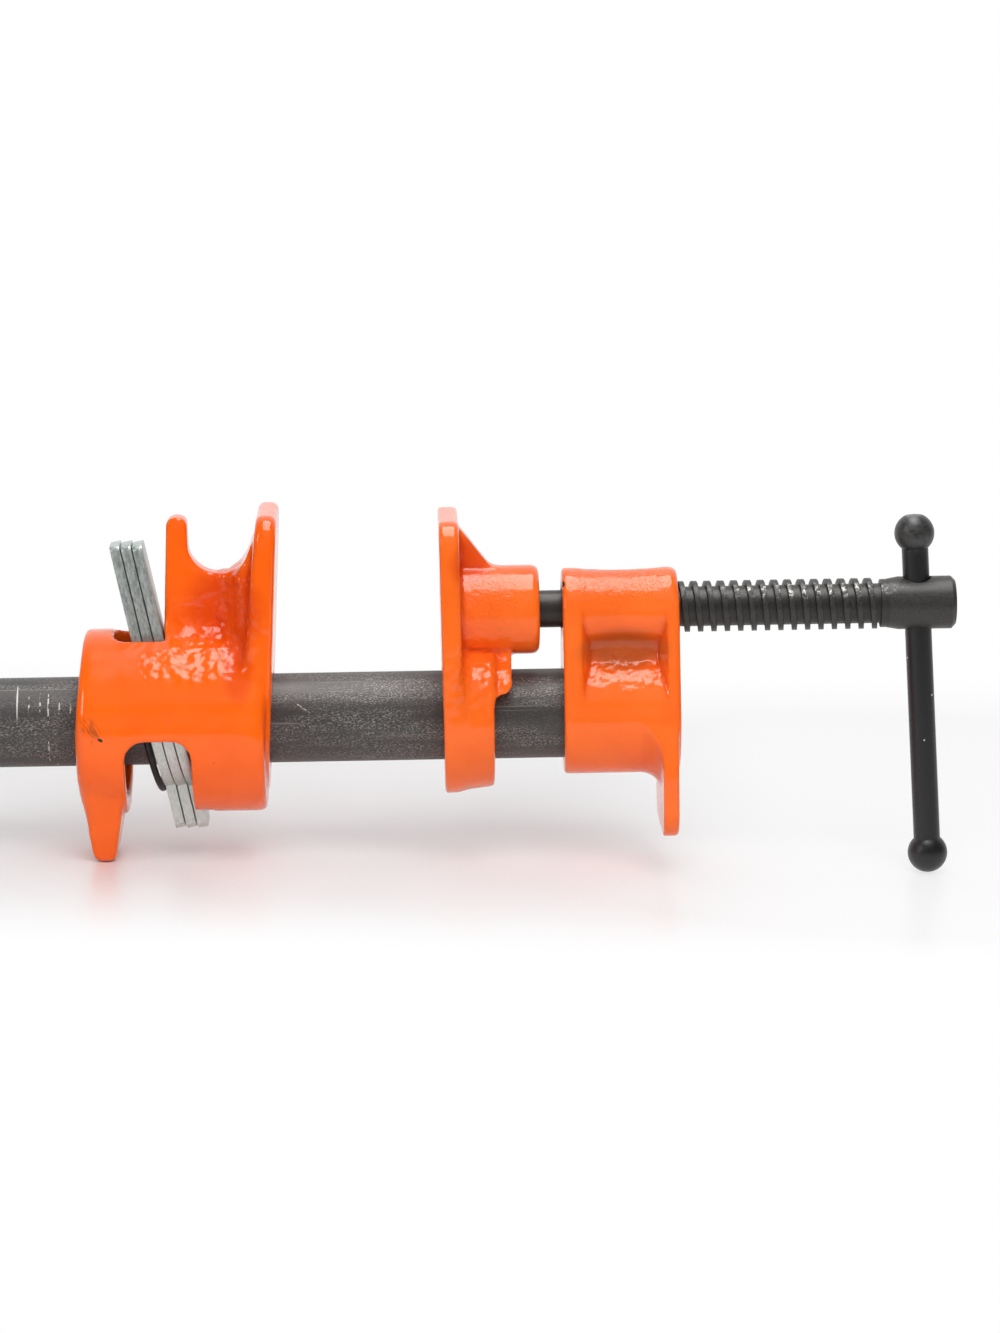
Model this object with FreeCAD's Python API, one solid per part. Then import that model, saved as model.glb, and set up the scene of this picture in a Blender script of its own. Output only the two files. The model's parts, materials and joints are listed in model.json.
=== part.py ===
import FreeCAD, Part
import math
import os

# Woodworking pipe clamp on 3/4 in. pipe, in millimetres and degrees.
# Stations are measured along the pipe from the head's jaw side, heights from the pipe's axis.
# The finished pieces are then moved so that the origin is under the middle of the whole clamp.

# Shared allowances
overrun = 2.0
running_clearance = 0.05
sliding_clearance = 0.4
seat_gap = 0.1
pick_margin = 0.05
pick_angle = 1.0
square_angle = 90.0

# Pipe
pipe_outer_radius = 13.335
pipe_wall = 2.87
pipe_length = 304.8
pipe_in_head = 32.0
pipe_end_thread_length = 20.0
pipe_end_thread_radius = 13.05
pipe_end_chamfer = 1.0

# Screw axis above the pipe's axis
screw_height = 31.6

# Spindle
thread_pitch = 4.0
thread_major_radius = 7.6
thread_root_radius = 5.95
thread_crest_width = 1.55
thread_base_width = 1.85
thread_sink = 0.35
thread_start = 1.6
thread_finish = 94.2
runout_ring_radius = 7.2
runout_ring_length = 2.0
shank_radius = 5.55
hub_radius = 7.9
hub_start = 97.2
hub_end = 117.6
hub_end_chamfer = 1.2
hub_front_taper = 0.6
hub_taper_length = 3.4
cross_hole_radius = 4.365
neck_radius = 4.0
tip_length = 1.7
ring_groove_radius = 3.1
tip_chamfer = 0.6

# Handle
handle_station = 106.4
handle_lean = 2.4
handle_bar_radius = 3.97
handle_ball_radius = 5.97
upper_ball_height = 21.0
lower_ball_depth = 76.4
spigot_radius = 2.7
spigot_shoulder_depth = 3.6
press_gap = 0.01

# Head casting
head_length = 34.7
head_pipe_radius = 18.25
head_screw_radius = 12.3
head_waist_radius = 11.4
head_left_rim = 5.4
head_right_rim = 3.6
head_rim_taper_length = 2.3
head_valley_depth = 6.0
head_valley_fillet = 6.0
head_edge_fillet = 1.1
head_foot_start = 29.0
head_foot_end = 33.7
head_foot_depth = 35.3
head_foot_width = 44.0
head_foot_corner = 8.5
head_foot_shoulder = 16.0
head_foot_fillet = 6.0
head_mouth_chamfer = 0.8

# Sliding jaw
jaw_face = -35.8
jaw_cant = 0.6
jaw_thickness = 5.9
jaw_half_width = 23.4
jaw_height = 60.6
jaw_corner = 8.0
jaw_edge_fillet = 1.4
jaw_face_fillet = 0.5
collar_front_radius = 23.0
collar_rear_radius = 21.5
collar_rear = -20.7
collar_edge_fillet = 1.0
boss_radius = 13.3
boss_rear = -6.7
boss_edge_fillet = 2.2
saddle_rear = -15.4
saddle_radius = 20.2
saddle_floor = 9.0
saddle_web_half = 8.0
saddle_web_fillet = 4.5
saddle_corner = 2.6
rib_thickness = 7.0
rib_top = 56.6
rib_knee_station = -20.9
rib_blend_radius = 2.0
recess_radius = 9.2
recess_depth = 7.6
thrust_wall = 6.6

# Washer and retaining ring in the recess of the sliding jaw
washer_radius = 7.8
washer_thickness = 1.4
ring_thickness = 1.1
ring_radius = 6.4
ring_mouth_half = 2.4

# Tail stop, called the clutch
clutch_face = -87.0
clutch_cant = 2.8
clutch_jaw_thickness = 9.4
clutch_jaw_draft = 3.0
clutch_jaw_half_width = 22.5
clutch_jaw_height = 63.1
clutch_jaw_corner = 8.0
clutch_jaw_edge_fillet = 2.0
clutch_shell_radius = 27.6
clutch_shell_wall = 4.4
clutch_collar_front = -88.7
clutch_collar_rear = -110.4
clutch_ring_rear = -144.4
clutch_ring_front = -130.0
clutch_ring_edge_fillet = 4.0
clutch_rear_lean = 5.0
clutch_rear_break_height = 0.5
clutch_spring_seat = 5.0
arch_top = -1.8
arch_corner = 6.0
plate_slot_length = 14.9
plate_slot_half = 9.6
plate_slot_corner = 4.0
plate_slot_floor = 12.0
horn_rear_base = -118.4
horn_rear_top = -117.0
horn_front_top = -110.9
horn_height = 61.5
horn_half = 4.6
horn_top_round = 2.4
finger_saddle_depth = 16.9
finger_saddle_radius = 9.2
finger_saddle_station = -101.8
finger_saddle_horn_angle = 12.0
finger_saddle_jaw_angle = 20.0
web_base_depth = 6.5
web_flare = 8.0
foot_bottom = -40.7
foot_rear_bottom = -140.4
foot_front_bottom = -134.2
foot_half_bottom = 12.0
foot_half_top = 19.5
foot_corner = 2.6
tongue_notch_half = 8.8
tongue_notch_clearance = 1.3
cavity_clearance = 0.8

# Clutch plates
plate_thickness = 3.175
plate_gap = 0.12
plate_tilt = 11.8
plate_bearing_gap = 0.34
plate_hole_radius = 14.1
plate_hole_offset = 0.3
plate_body_clearance = 2.8
plate_tab_half = 6.35
plate_tab_top = 55.0
plate_tab_corner = 2.0
plate_tongue_half = 8.0
plate_tongue_bottom = -31.9
plate_tongue_corner = 1.6

# Clutch spring
spring_wire_radius = 1.0
spring_coil_clearance = 2.8
spring_lift = 0.12
spring_start_angle = 45.0
spring_quarters = 7
spring_cross_start_angle = 270.0
spring_cross_end_angle = 450.0
spring_gap_steps = 12

# Sizes that follow from the ones above
clutch_cavity_radius = clutch_shell_radius - clutch_shell_wall
plate_body_radius = clutch_cavity_radius - plate_body_clearance
spring_coil_radius = clutch_cavity_radius - spring_coil_clearance
finger_saddle_bottom = horn_height - finger_saddle_depth
web_base_height = clutch_shell_radius - web_base_depth
plate_slot_rear = horn_rear_base - plate_slot_length


def vec(x, y, z):
    return FreeCAD.Vector(x, y, z)


X_AXIS = vec(1, 0, 0)
Y_AXIS = vec(0, 1, 0)
Z_AXIS = vec(0, 0, 1)
CENTRE = vec(0, 0, 0)


def sine(angle):
    return math.sin(math.radians(angle))


def cosine(angle):
    return math.cos(math.radians(angle))


def tangent(angle):
    return math.tan(math.radians(angle))


def round_bar(radius, start, end, height=0.0):
    """A cylinder along the pipe's direction, from one station to another."""
    return Part.makeCylinder(radius, end - start, vec(start, 0, height), X_AXIS)


def tapered_bar(radius_start, radius_end, start, end, height=0.0):
    """A cone along the pipe's direction."""
    return Part.makeCone(radius_start, radius_end, end - start, vec(start, 0, height), X_AXIS)


def mirrored(point):
    """The same point on the other side of the clamp."""
    return vec(point.x, -point.y, point.z)


def line(a, b):
    return Part.LineSegment(a, b).toShape()


def arc_about(centre, a, b):
    """The shorter arc from a to b about a centre."""
    toward = (a - centre).normalize() + (b - centre).normalize()
    middle = centre + toward.normalize() * (a - centre).Length
    return Part.Arc(a, middle, b).toShape()


def face_of(edges):
    return Part.Face(Part.Wire(Part.__sortEdges__(edges)))


def polygon_face(points):
    return Part.Face(Part.makePolygon(points + points[:1]))


def block(x_start, x_end, y_half, z_start, z_end):
    """A box that is centred across the clamp."""
    return Part.makeBox(x_end - x_start, 2 * y_half, z_end - z_start, vec(x_start, -y_half, z_start))


def fillet_where(shape, radius, wanted):
    """Rounds the edges that the test picks out."""
    return shape.makeFillet(radius, [edge for edge in shape.Edges if wanted(edge)])


def along(edge, axis):
    """True for a straight edge that runs along the given axis."""
    if len(edge.Vertexes) != 2:
        return False
    run = edge.Vertexes[1].Point - edge.Vertexes[0].Point
    return run.Length > 0 and abs(run.dot(axis)) > run.Length * cosine(pick_angle)


def at_station(edge, station):
    """True for an edge that lies square to the pipe at a station."""
    return edge.BoundBox.XLength < pick_margin and abs(edge.BoundBox.XMin - station) < pick_margin


def jaw_outline(half_width, top, corner, station):
    """A jaw's outline: straight sides, rounded top corners and a half circle round the pipe."""
    right_low = vec(station, half_width, 0)
    right_high = vec(station, half_width, top - corner)
    right_top = vec(station, half_width - corner, top)
    bottom = vec(station, 0, -half_width)
    corner_centre = vec(station, half_width - corner, top - corner)
    pipe_centre = vec(station, 0, 0)
    return face_of([
        line(right_low, right_high),
        arc_about(corner_centre, right_high, right_top),
        line(right_top, mirrored(right_top)),
        arc_about(mirrored(corner_centre), mirrored(right_top), mirrored(right_high)),
        line(mirrored(right_high), mirrored(right_low)),
        arc_about(pipe_centre, mirrored(right_low), bottom),
        arc_about(pipe_centre, bottom, right_low),
    ])


def make_pipe():
    """The pipe, with the plain size of its cut thread at the free end."""
    end = pipe_in_head
    start = end - pipe_length
    thread_end = start + pipe_end_thread_length
    outside = round_bar(pipe_outer_radius, thread_end, end)
    outside = outside.fuse(round_bar(pipe_end_thread_radius, start, thread_end))
    bore_radius = pipe_outer_radius - pipe_wall
    pipe = outside.cut(round_bar(bore_radius, start - overrun, end + overrun))
    rims = [edge for edge in pipe.Edges
            if at_station(edge, start) and edge.Curve.Radius > bore_radius + pick_margin]
    return pipe.makeChamfer(pipe_end_chamfer, rims)


def hull_face(low_radius, high_radius, station):
    """The outline round the pipe barrel and the screw barrel, with straight sides."""
    rise = math.asin((low_radius - high_radius) / screw_height)
    low = vec(station, low_radius * math.cos(rise), low_radius * math.sin(rise))
    high = vec(station, high_radius * math.cos(rise), screw_height + high_radius * math.sin(rise))
    bottom = vec(station, 0, -low_radius)
    top = vec(station, 0, screw_height + high_radius)
    low_centre = vec(station, 0, 0)
    high_centre = vec(station, 0, screw_height)
    return face_of([
        line(low, high),
        arc_about(high_centre, high, top),
        arc_about(high_centre, top, mirrored(high)),
        line(mirrored(high), mirrored(low)),
        arc_about(low_centre, mirrored(low), bottom),
        arc_about(low_centre, bottom, low),
    ])


def waist_wire(high_radius, station):
    """The waist between the rims: the screw barrel with a hollow flank down to the pipe barrel."""
    low_reach = head_pipe_radius + head_valley_fillet
    high_reach = high_radius + head_valley_fillet
    lift = (low_reach ** 2 - high_reach ** 2 + screw_height ** 2) / (2 * screw_height)
    hollow_centre = vec(station, math.sqrt(low_reach ** 2 - lift ** 2), lift)
    high_centre = vec(station, 0, screw_height)
    low = hollow_centre * (head_pipe_radius / low_reach)
    low.x = station
    high = high_centre + (hollow_centre - high_centre) * (high_radius / high_reach)
    top = vec(station, 0, screw_height + high_radius)
    return Part.Wire([
        arc_about(hollow_centre, low, high),
        arc_about(high_centre, high, top),
        arc_about(high_centre, top, mirrored(high)),
        arc_about(mirrored(hollow_centre), mirrored(high), mirrored(low)),
        line(mirrored(low), low),
    ])


def make_head_casting():
    """The fixed head: two barrels, a rim at each end, a hollow waist and a foot."""
    left_end = head_left_rim
    right_start = head_length - head_right_rim
    left_rim = hull_face(head_pipe_radius, head_screw_radius, 0).extrude(X_AXIS * left_end)
    left_rim = fillet_where(left_rim, head_edge_fillet, lambda e: at_station(e, 0))
    right_rim = hull_face(head_pipe_radius, head_screw_radius, right_start).extrude(X_AXIS * head_right_rim)
    right_rim = fillet_where(right_rim, head_edge_fillet, lambda e: at_station(e, head_length))
    inner_pipe_radius = head_pipe_radius - head_valley_depth
    inner_screw_radius = head_screw_radius - head_valley_depth
    left_wall = Part.makeLoft([
        hull_face(head_pipe_radius, head_screw_radius, left_end).OuterWire,
        hull_face(inner_pipe_radius, inner_screw_radius, left_end + head_rim_taper_length).OuterWire,
    ], True, True)
    right_wall = Part.makeLoft([
        hull_face(inner_pipe_radius, inner_screw_radius, right_start - head_rim_taper_length).OuterWire,
        hull_face(head_pipe_radius, head_screw_radius, right_start).OuterWire,
    ], True, True)
    waist_start = left_end / 2
    waist_end = head_length - head_right_rim / 2
    waist = Part.makeLoft([
        waist_wire(head_screw_radius, waist_start),
        waist_wire(head_waist_radius, head_length / 2),
        waist_wire(head_screw_radius, waist_end),
    ], True, False)
    barrel = round_bar(head_pipe_radius, waist_start, waist_end)
    casting = barrel.fuse([waist, left_rim, left_wall, right_wall, right_rim, make_head_foot()])
    casting = casting.cut(round_bar(pipe_outer_radius + running_clearance, -overrun, head_length + overrun))
    screw_bore = thread_major_radius + running_clearance
    casting = casting.cut(round_bar(screw_bore, -overrun, head_length + overrun, screw_height))
    mouth = tapered_bar(screw_bore + head_mouth_chamfer, screw_bore, 0, head_mouth_chamfer, screw_height)
    return casting.cut(mouth).removeSplitter()


def make_head_foot():
    """The foot plate at the handle end, with a round inside corner up to the pipe barrel."""
    half = head_foot_width / 2
    low = -head_foot_depth
    corner_start = head_foot_start - head_foot_fillet
    shoulder = vec(corner_start, head_pipe_radius, 0)
    widest = vec(corner_start, half, -head_foot_shoulder)
    side_low = vec(corner_start, half, low + head_foot_corner)
    bottom = vec(corner_start, half - head_foot_corner, low)
    corner_centre = vec(corner_start, half - head_foot_corner, low + head_foot_corner)
    outline = face_of([
        line(mirrored(shoulder), shoulder),
        line(shoulder, widest),
        line(widest, side_low),
        arc_about(corner_centre, side_low, bottom),
        line(bottom, mirrored(bottom)),
        arc_about(mirrored(corner_centre), mirrored(bottom), mirrored(side_low)),
        line(mirrored(side_low), mirrored(widest)),
        line(mirrored(widest), mirrored(shoulder)),
    ])
    body = outline.extrude(X_AXIS * (head_foot_end - corner_start))
    body = fillet_where(body, head_edge_fillet, lambda e: at_station(e, head_foot_end)
                        and e.BoundBox.ZMax < -head_foot_shoulder + pick_margin)
    plate = block(head_foot_start, head_foot_end + overrun, head_foot_width, 2 * low, overrun)
    # The inside corner is a quarter hollow turned round the pipe barrel.
    root = -head_pipe_radius + head_foot_corner
    edge = -head_pipe_radius - head_foot_fillet
    touch = vec(corner_start, 0, -head_pipe_radius)
    meet = vec(head_foot_start, 0, edge)
    corner = face_of([
        line(vec(corner_start, 0, root), vec(head_foot_end, 0, root)),
        line(vec(head_foot_end, 0, root), vec(head_foot_end, 0, edge)),
        line(vec(head_foot_end, 0, edge), meet),
        arc_about(vec(corner_start, 0, edge), meet, touch),
        line(touch, vec(corner_start, 0, root)),
    ])
    hollow = corner.revolve(CENTRE, X_AXIS, 4 * square_angle)
    return body.common(plate.fuse(hollow))


def make_sliding_jaw_casting():
    """The sliding jaw: canted plate, collar on the pipe, screw boss, saddle web and gusset rib."""
    plate = jaw_outline(jaw_half_width, jaw_height, jaw_corner, jaw_face).extrude(X_AXIS * jaw_thickness)
    plate = fillet_where(plate, jaw_edge_fillet, lambda e: at_station(e, jaw_face + jaw_thickness))
    plate = fillet_where(plate, jaw_face_fillet, lambda e: at_station(e, jaw_face))
    plate.rotate(vec(jaw_face, 0, 0), Y_AXIS, -jaw_cant)
    middle = jaw_face + jaw_thickness / 2
    collar = tapered_bar(collar_front_radius, collar_rear_radius, middle, collar_rear)
    collar = fillet_where(collar, collar_edge_fillet, lambda e: at_station(e, collar_rear))
    boss = round_bar(boss_radius, middle, boss_rear, screw_height)
    boss = fillet_where(boss, boss_edge_fillet, lambda e: at_station(e, boss_rear))
    jaw = plate.fuse([collar, boss, make_saddle_web(middle), make_jaw_rib(middle)])
    jaw = jaw.cut(round_bar(pipe_outer_radius + sliding_clearance, jaw_face - overrun, boss_rear))
    wall_start = jaw_face + recess_depth
    recess = round_bar(recess_radius, jaw_face - overrun, wall_start, screw_height)
    neck_hole = round_bar(neck_radius + running_clearance, jaw_face, boss_rear, screw_height)
    shank_hole = round_bar(shank_radius + running_clearance, wall_start + thrust_wall,
                           boss_rear + overrun, screw_height)
    return jaw.cut(recess.fuse([neck_hole, shank_hole])).removeSplitter()


def make_saddle_web(start):
    """The web from the boss down to the saddle over the pipe, hollowed at both sides."""
    floor = saddle_floor - saddle_corner
    low = vec(start, math.sqrt(saddle_radius ** 2 - floor ** 2), floor)
    reach = saddle_radius + saddle_web_fillet
    out = saddle_web_half + saddle_web_fillet
    hollow_centre = vec(start, out, math.sqrt(reach ** 2 - out ** 2))
    pipe_centre = vec(start, 0, 0)
    touch = vec(start, out * saddle_radius / reach, hollow_centre.z * saddle_radius / reach)
    waist = vec(start, saddle_web_half, hollow_centre.z)
    high = vec(start, saddle_web_half, screw_height)
    outline = face_of([
        line(mirrored(high), high),
        line(high, waist),
        arc_about(hollow_centre, waist, touch),
        arc_about(pipe_centre, touch, low),
        line(low, mirrored(low)),
        arc_about(pipe_centre, mirrored(low), mirrored(touch)),
        arc_about(mirrored(hollow_centre), mirrored(touch), mirrored(waist)),
        line(mirrored(waist), mirrored(high)),
    ])
    web = outline.extrude(X_AXIS * (saddle_rear - start))
    # Seen from the side the web ends in a round corner, with a hollow down to the collar.
    side = -saddle_radius - overrun
    corner = saddle_corner
    round_centre = vec(saddle_rear - corner, side, saddle_floor + corner)
    round_end = vec(saddle_rear, side, saddle_floor + corner)
    round_start = vec(saddle_rear - corner, side, saddle_floor)
    hollow_start = vec(collar_rear, side, floor)
    hollow_end = vec(collar_rear + corner, side, saddle_floor)
    profile = face_of([
        line(vec(start, side, floor), hollow_start),
        arc_about(vec(collar_rear + corner, side, floor), hollow_start, hollow_end),
        line(hollow_end, round_start),
        arc_about(round_centre, round_start, round_end),
        line(round_end, vec(saddle_rear, side, screw_height)),
        line(vec(saddle_rear, side, screw_height), vec(start, side, screw_height)),
        line(vec(start, side, screw_height), vec(start, side, floor)),
    ])
    return web.common(profile.extrude(Y_AXIS * (-2 * side)))


def make_jaw_rib(start):
    """The gusset rib from the jaw's back down to the top of the boss."""
    side = -rib_thickness / 2
    top = screw_height + boss_radius
    high = vec(jaw_face + jaw_thickness, side, rib_top)
    knee = vec(rib_knee_station, side, top)
    slope = (high - knee).normalize()
    above = knee + slope * rib_blend_radius
    beyond = knee + X_AXIS * rib_blend_radius
    turn = slope.getAngle(X_AXIS) / 2
    centre = knee + (slope + X_AXIS).normalize() * (rib_blend_radius / math.cos(turn))
    outline = face_of([
        line(vec(start, side, screw_height), vec(start, side, rib_top)),
        line(vec(start, side, rib_top), high),
        line(high, above),
        arc_about(centre, above, beyond),
        line(beyond, vec(beyond.x, side, screw_height)),
        line(vec(beyond.x, side, screw_height), vec(start, side, screw_height)),
    ])
    return outline.extrude(Y_AXIS * rib_thickness)


def make_spindle_washer():
    """The thrust washer against the floor of the jaw's recess."""
    floor = jaw_face + recess_depth
    ring = round_bar(washer_radius, floor - washer_thickness, floor, screw_height)
    return ring.cut(round_bar(neck_radius + running_clearance, floor - washer_thickness - overrun,
                              floor + overrun, screw_height))


def groove_end():
    """The washer side of the retaining ring's groove."""
    return jaw_face + recess_depth - washer_thickness - running_clearance


def make_spindle_retaining_ring():
    """An open ring, pushed sideways into the groove of the spindle's tip."""
    end = groove_end() - running_clearance
    start = end - ring_thickness
    ring = round_bar(ring_radius, start, end, screw_height)
    ring = ring.cut(round_bar(ring_groove_radius + running_clearance, start - overrun,
                              end + overrun, screw_height))
    mouth = Part.makeBox(ring_thickness + 2 * overrun, 2 * ring_mouth_half, ring_radius + overrun,
                         vec(start - overrun, -ring_mouth_half, screw_height))
    return ring.cut(mouth)


def make_thread():
    """The square-cut thread: its section swept along a right-hand helix."""
    helix = Part.makeHelix(thread_pitch, thread_finish - thread_start, thread_root_radius)
    inner = thread_root_radius - thread_sink
    base_half = thread_base_width / 2
    crest_half = thread_crest_width / 2
    section = Part.makePolygon([
        vec(inner, 0, -base_half),
        vec(thread_major_radius, 0, -crest_half),
        vec(thread_major_radius, 0, crest_half),
        vec(inner, 0, base_half),
        vec(inner, 0, -base_half),
    ])
    sweep = Part.BRepOffsetAPI.MakePipeShell(Part.Wire(helix.Edges))
    sweep.setFrenetMode(True)
    sweep.add(section)
    sweep.build()
    sweep.makeSolid()
    return sweep.shape()


def make_threaded_core():
    """The threaded length, made upright and then laid along the screw's axis."""
    start = thread_start - thread_base_width
    core = Part.makeCylinder(thread_root_radius, hub_start - start, vec(0, 0, start - thread_start), Z_AXIS)
    core = core.fuse(make_thread())
    core.rotate(CENTRE, Y_AXIS, square_angle)
    core.translate(vec(thread_start, 0, screw_height))
    return core


def make_spindle_screw():
    """The spindle: neck and groove, shank, threaded length, run-out and drilled hub."""
    shoulder = jaw_face + recess_depth + thrust_wall + seat_gap
    groove_start = groove_end() - ring_thickness - 2 * running_clearance
    tip = groove_start - tip_length
    neck = round_bar(neck_radius, tip, shoulder, screw_height)
    neck = neck.makeChamfer(tip_chamfer, [e for e in neck.Edges if at_station(e, tip)])
    groove = round_bar(neck_radius + overrun, groove_start, groove_end(), screw_height)
    groove = groove.cut(round_bar(ring_groove_radius, groove_start, groove_end(), screw_height))
    neck = neck.cut(groove)
    shank = round_bar(shank_radius, shoulder, thread_start, screw_height)
    ring = round_bar(runout_ring_radius, hub_start - runout_ring_length, hub_start, screw_height)
    taper_end = hub_start + hub_taper_length
    taper = tapered_bar(hub_radius - hub_front_taper, hub_radius, hub_start, taper_end, screw_height)
    hub = round_bar(hub_radius, taper_end, hub_end, screw_height)
    hub = hub.makeChamfer(hub_end_chamfer, [e for e in hub.Edges if at_station(e, hub_end)])
    screw = make_threaded_core()
    for part in (shank, neck, ring, taper, hub):
        screw = screw.fuse(part)
    hole = Part.makeCylinder(cross_hole_radius, 2 * (hub_radius + overrun),
                             vec(handle_station, 0, screw_height - hub_radius - overrun), Z_AXIS)
    return screw.cut(hole)


def leaned(shape):
    """Puts a piece that is drawn upright on the screw's axis into the handle's lean."""
    centre = vec(handle_station, 0, screw_height)
    shape.translate(centre)
    shape.rotate(centre, Y_AXIS, -handle_lean)
    return shape


def upright_bar(radius, low, high):
    return Part.makeCylinder(radius, high - low, vec(0, 0, low), Z_AXIS)


def ball_flat():
    """The height of the flat above the ball's middle, where the spigot is peened over."""
    return math.sqrt(handle_ball_radius ** 2 - spigot_radius ** 2)


def make_handle_bar():
    """The bar with its forged lower ball, and the turned spigot that takes the other ball."""
    ball = Part.makeSphere(handle_ball_radius, vec(0, 0, -lower_ball_depth))
    shoulder = upper_ball_height - spigot_shoulder_depth
    bar = upright_bar(handle_bar_radius, -lower_ball_depth, shoulder)
    spigot = upright_bar(spigot_radius, shoulder, upper_ball_height + ball_flat())
    return leaned(ball.fuse([bar, spigot]).removeSplitter())


def make_handle_end_ball():
    """The pressed-on ball, cut flat at the top where the spigot is peened over."""
    size = handle_ball_radius
    ball = Part.makeSphere(size, vec(0, 0, upper_ball_height))
    shoulder = upper_ball_height - spigot_shoulder_depth
    hole = upright_bar(spigot_radius + press_gap, shoulder, upper_ball_height + size)
    seat = upright_bar(handle_bar_radius + press_gap, upper_ball_height - size - overrun, shoulder)
    above = block(-size, size, size, upper_ball_height + ball_flat(), upper_ball_height + 2 * size)
    return leaned(ball.cut(hole.fuse([seat, above])))


def plate_slope():
    """How far a plate's faces move along the pipe for each step up."""
    return -tangent(plate_tilt)


def plate_front_station(height):
    """The front plate's front face at a height; it bears on the slot's edge at the shell's radius."""
    bearing = horn_rear_base - plate_bearing_gap
    return bearing + (height - clutch_shell_radius) * plate_slope()


def plate_pitch():
    """The step from one plate to the next, measured along the pipe."""
    return (plate_thickness + plate_gap) / cosine(plate_tilt)


def make_clutch_jaw():
    """The fixed jaw of the tail stop, with its back drafted towards the top."""
    deepest = clutch_jaw_thickness + clutch_jaw_half_width * tangent(clutch_jaw_draft)
    thinnest = clutch_jaw_thickness - clutch_jaw_height * tangent(clutch_jaw_draft)
    jaw = jaw_outline(clutch_jaw_half_width, clutch_jaw_height, clutch_jaw_corner, clutch_face)
    jaw = jaw.extrude(X_AXIS * -deepest)
    side = -clutch_jaw_half_width - overrun
    back = polygon_face([
        vec(clutch_face + overrun, side, -clutch_jaw_half_width),
        vec(clutch_face - deepest, side, -clutch_jaw_half_width),
        vec(clutch_face - thinnest, side, clutch_jaw_height),
        vec(clutch_face + overrun, side, clutch_jaw_height),
    ])
    jaw = jaw.common(back.extrude(Y_AXIS * (-2 * side)))
    jaw = fillet_where(jaw, clutch_jaw_edge_fillet, lambda e: not along(e, X_AXIS))
    jaw.rotate(vec(clutch_face, 0, 0), Y_AXIS, clutch_cant)
    return jaw


def make_clutch_casting():
    """The tail stop: jaw, horn and finger saddle over a shell that is open below at the arch."""
    collar = round_bar(clutch_shell_radius, clutch_collar_rear, clutch_collar_front)
    collar = fillet_where(collar, clutch_jaw_edge_fillet, lambda e: at_station(e, clutch_collar_front))
    ring = round_bar(clutch_shell_radius, clutch_ring_rear, clutch_collar_rear)
    ring = fillet_where(ring, clutch_ring_edge_fillet, lambda e: at_station(e, clutch_ring_rear))
    # The upper half of the rear face leans towards the jaw.
    behind = block(clutch_ring_rear - 2 * overrun, clutch_ring_rear, clutch_shell_radius + overrun,
                   clutch_rear_break_height, clutch_shell_radius + clutch_rear_break_height + overrun)
    behind.rotate(vec(clutch_ring_rear, 0, clutch_rear_break_height), Y_AXIS, clutch_rear_lean)
    ring = ring.cut(behind)
    casting = ring.fuse([collar, make_clutch_jaw(), make_clutch_foot(), make_horn_web()])
    cavity_end = plate_front_station(-plate_body_radius) + cavity_clearance
    cavity = round_bar(clutch_cavity_radius, clutch_ring_front - clutch_spring_seat, cavity_end)
    bore = round_bar(pipe_outer_radius + sliding_clearance, clutch_ring_rear - overrun, clutch_face + overrun)
    casting = casting.cut(cavity.fuse([bore, make_arch(), make_plate_slot(), make_tongue_notch()]))
    return casting.removeSplitter()


def make_clutch_foot():
    """The foot under the rear ring, narrowing downwards in both views."""
    wide = clutch_shell_radius
    rear = clutch_ring_rear
    front = clutch_ring_front
    brow = -clutch_ring_edge_fillet
    knee = -clutch_cavity_radius
    side = polygon_face([
        vec(rear + clutch_ring_edge_fillet / 4, -wide, brow),
        vec(front, -wide, brow),
        vec(front - foot_corner / 2, -wide, knee),
        vec(foot_front_bottom, -wide, foot_bottom),
        vec(foot_rear_bottom, -wide, foot_bottom),
        vec(rear + foot_corner / 2, -wide, knee),
    ]).extrude(Y_AXIS * (2 * wide))
    side = fillet_where(side, foot_corner, lambda e: e.BoundBox.ZMax < foot_bottom + pick_margin
                        and along(e, Y_AXIS))
    start = rear - overrun
    across = polygon_face([
        vec(start, -foot_half_bottom, foot_bottom),
        vec(start, foot_half_bottom, foot_bottom),
        vec(start, foot_half_top, knee + foot_corner),
        vec(start, clutch_cavity_radius, brow),
        vec(start, -clutch_cavity_radius, brow),
        vec(start, -foot_half_top, knee + foot_corner),
    ]).extrude(X_AXIS * (front - start + overrun))
    across = fillet_where(across, foot_corner, lambda e: e.BoundBox.ZMax < foot_bottom + pick_margin
                          and along(e, X_AXIS))
    return side.common(across)


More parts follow.
